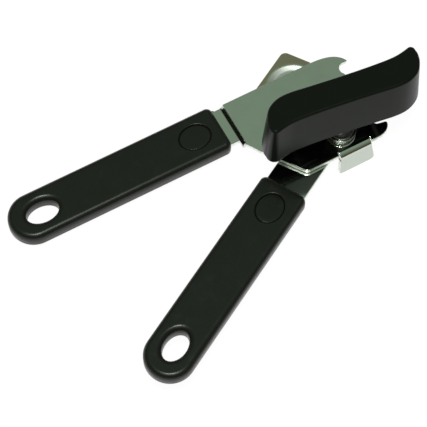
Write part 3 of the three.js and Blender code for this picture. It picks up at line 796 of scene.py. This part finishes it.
def keyCollar():
    size, low, high = placeOf("key_collar")[1:]
    rim = size.x / 2
    neck, bore = rim - collarMake["neckInset"], bores["shaft"]
    rimTop = low.z + collarMake["rimThickness"]
    rimRound, chamfer = collarMake["rimRound"], collarMake["topChamfer"]
    fillet, middle = collarMake["neckFillet"], collarMake["filletMiddle"]
    collar = turnedPiece("keyCollar", driveCentre, [
        [bore, low.z],
        [rim - rimRound, low.z],
        [rim, low.z + rimRound],
        *arcProfile(rim - rimRound, rimTop - rimRound, rimRound, rimRound, 4),
        [neck + fillet, rimTop],
        [neck + middle, rimTop + middle],
        [neck, rimTop + fillet],
        [neck, high.z - chamfer],
        [neck - chamfer, high.z],
        [bore, high.z],
    ], hollow=True)
    smoothShade(collar, 40)
    finish(collar, "drive", "key_collar", steelCollarPaintedShade)


def driveShaft():
    shaft = cleanCopy("drive_shaft", "driveShaft")
    roundEdges(shaft, driveMake["shaftEdge"], 2, 50)
    smoothShade(shaft, 40)
    finish(shaft, "drive", "drive_shaft", steelDrive)


def feedWheel():
    wheel = cleanCopy("feed_wheel", "feedWheel")
    roundEdges(wheel, driveMake["toothEdge"], 2, 40)
    smoothShade(wheel, 30)
    toothRoot = placeOf("feed_wheel")[1].x / 2 - driveMake["toothDepth"]
    material = hardenedSteel("hardenedSteelFeed", driveCentre, toothRoot)
    finish(wheel, "drive", "feed_wheel", material)


def wheelNut():
    nut = cleanCopy("wheel_nut", "wheelNut")
    roundEdges(nut, driveMake["nutEdge"], 3, 35)
    smoothShade(nut, 30)
    finish(nut, "drive", "wheel_nut", steelDrive)


turnKey()
keyCollar()
plainRing("thrustWasher", "thrust_washer", "drive", driveCentre, bores["shaft"], steelDrive)
driveShaft()
feedWheel()
plainRing("endWasher", "end_washer", "drive", driveCentre, bores["thread"], steelDrive)
wheelNut()
print("Drive made")


# Floor, light and camera

studio = {
    "floorSize": 6.0,  # metres, as are the distances below
    "floorColour": (0.06, 0.06, 0.06, 1),
    "floorCloud": (0.055, 0.055, 0.055, 1),
    "floorGlow": 0.955,
    "skyStops": [  # height of the sky from 0 at the horizon to 1 overhead, and its colour
        (0.0, (0.05, 0.045, 0.035, 1)),
        (0.45, (0.17, 0.15, 0.11, 1)),
        (0.78, (0.24, 0.30, 0.235, 1)),
        (1.0, (0.30, 0.41, 0.31, 1)),
    ],
    "lamps": [  # name, bearing and height in degrees, distance, size, power
        ("overheadLamp", 241.5, 78, 1.3, 0.3, 9.0),
        ("paleCeilingPanel", 241.5, 68, 1.5, 1.1, 4.0),
    ],
}


restPoints = {  # from a piece's box in to the point where it meets the floor
    "tabIn": 2.2,
    "headIn": 1.4,
    "tipIn": 10,
    "sideIn": 2.5,
}


def floorPlane():
    # the tool rests on its guide tab, its cutter's axle head and the upper handle's far end
    tab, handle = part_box("upper_plate")[0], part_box("upper_grip")
    axleLow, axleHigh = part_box("cutter_axle")
    tabIn, headIn, tipIn, sideIn = (inset * mm for inset in restPoints.values())
    tabFoot = Vector((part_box("key_collar")[0].x, tab.y + tabIn, tab.z))
    axleFoot = Vector((cutterCentre.x * mm, axleHigh.y - headIn, axleLow.z))
    tipFoot = Vector((handle[0].x + tipIn, handle[1].y - sideIn, handle[0].z))
    up = (axleFoot - tabFoot).cross(tipFoot - tabFoot).normalized()
    bpy.ops.mesh.primitive_plane_add(size=studio["floorSize"])
    floor = bpy.context.object
    floor.name = "floor"
    floor.rotation_euler = up.to_track_quat("Z", "Y").to_euler()
    floor.location = tabFoot
    bpy.ops.object.transform_apply(location=True, rotation=True, scale=True)
    recipe = Recipe("paleFloor")
    cloud = recipe.noise(recipe.place(), 400, 2.0)
    colour = recipe.mixed(cloud, studio["floorColour"], studio["floorCloud"])
    floor.data.materials.append(recipe.surface({
        "Base Color": colour,
        "Roughness": 0.8,
        "Emission Color": (1, 1, 1, 1),
        "Emission Strength": studio["floorGlow"],
    }))


def softLamp(name, bearing, height, distance, size, power):
    aim = (cadBounds[0] + cadBounds[1]) / 2
    turn, lift = math.radians(bearing), math.radians(height)
    away = Vector((math.cos(turn) * math.cos(lift), math.sin(turn) * math.cos(lift), math.sin(lift)))
    bpy.ops.object.light_add(type="AREA", location=aim + away * distance)
    lamp = bpy.context.object
    lamp.name = name
    lamp.data.shape = "DISK"
    lamp.data.size = size
    lamp.data.energy = power
    lamp.rotation_euler = away.to_track_quat("Z", "Y").to_euler()


def studioSky():
    # grey-green overhead, fading to a dim warm wall
    sky = bpy.data.worlds.new("studioSky")
    bpy.context.scene.world = sky
    sky.use_nodes = True
    tree = sky.node_tree
    tree.nodes.clear()
    coordinates = tree.nodes.new("ShaderNodeTexCoord")
    split = tree.nodes.new("ShaderNodeSeparateXYZ")
    ramp = tree.nodes.new("ShaderNodeValToRGB")
    stops = ramp.color_ramp.elements
    while len(stops) < len(studio["skyStops"]):
        stops.new(1)
    for stop, (height, colour) in zip(stops, studio["skyStops"]):
        stop.position = height
        stop.color = colour
    background = tree.nodes.new("ShaderNodeBackground")
    output = tree.nodes.new("ShaderNodeOutputWorld")
    tree.links.new(coordinates.outputs["Generated"], split.inputs[0])
    tree.links.new(split.outputs["Z"], ramp.inputs["Fac"])
    tree.links.new(ramp.outputs["Color"], background.inputs["Color"])
    tree.links.new(background.outputs[0], output.inputs["Surface"])


floorPlane()
for lamp in studio["lamps"]:
    softLamp(*lamp)
studioSky()
bpy.context.scene.view_settings.view_transform = "Standard"

cameraMake = {
    "place": (-221.9, -327.4, 707.7),
    "aim": (-55.45, -21.0, -9.0),
    "lens": 151.4,  # on a 36 mm sensor
}
cameraPlace = Vector(cameraMake["place"]) * mm
cameraBack = cameraPlace - Vector(cameraMake["aim"]) * mm
bpy.ops.object.camera_add(location=cameraPlace, rotation=cameraBack.to_track_quat("Z", "Y").to_euler())
camera = bpy.context.object
camera.data.lens = cameraMake["lens"]
camera.data.sensor_width = 36
camera.data.clip_start = 0.05
bpy.context.scene.camera = camera
print("Studio ready")
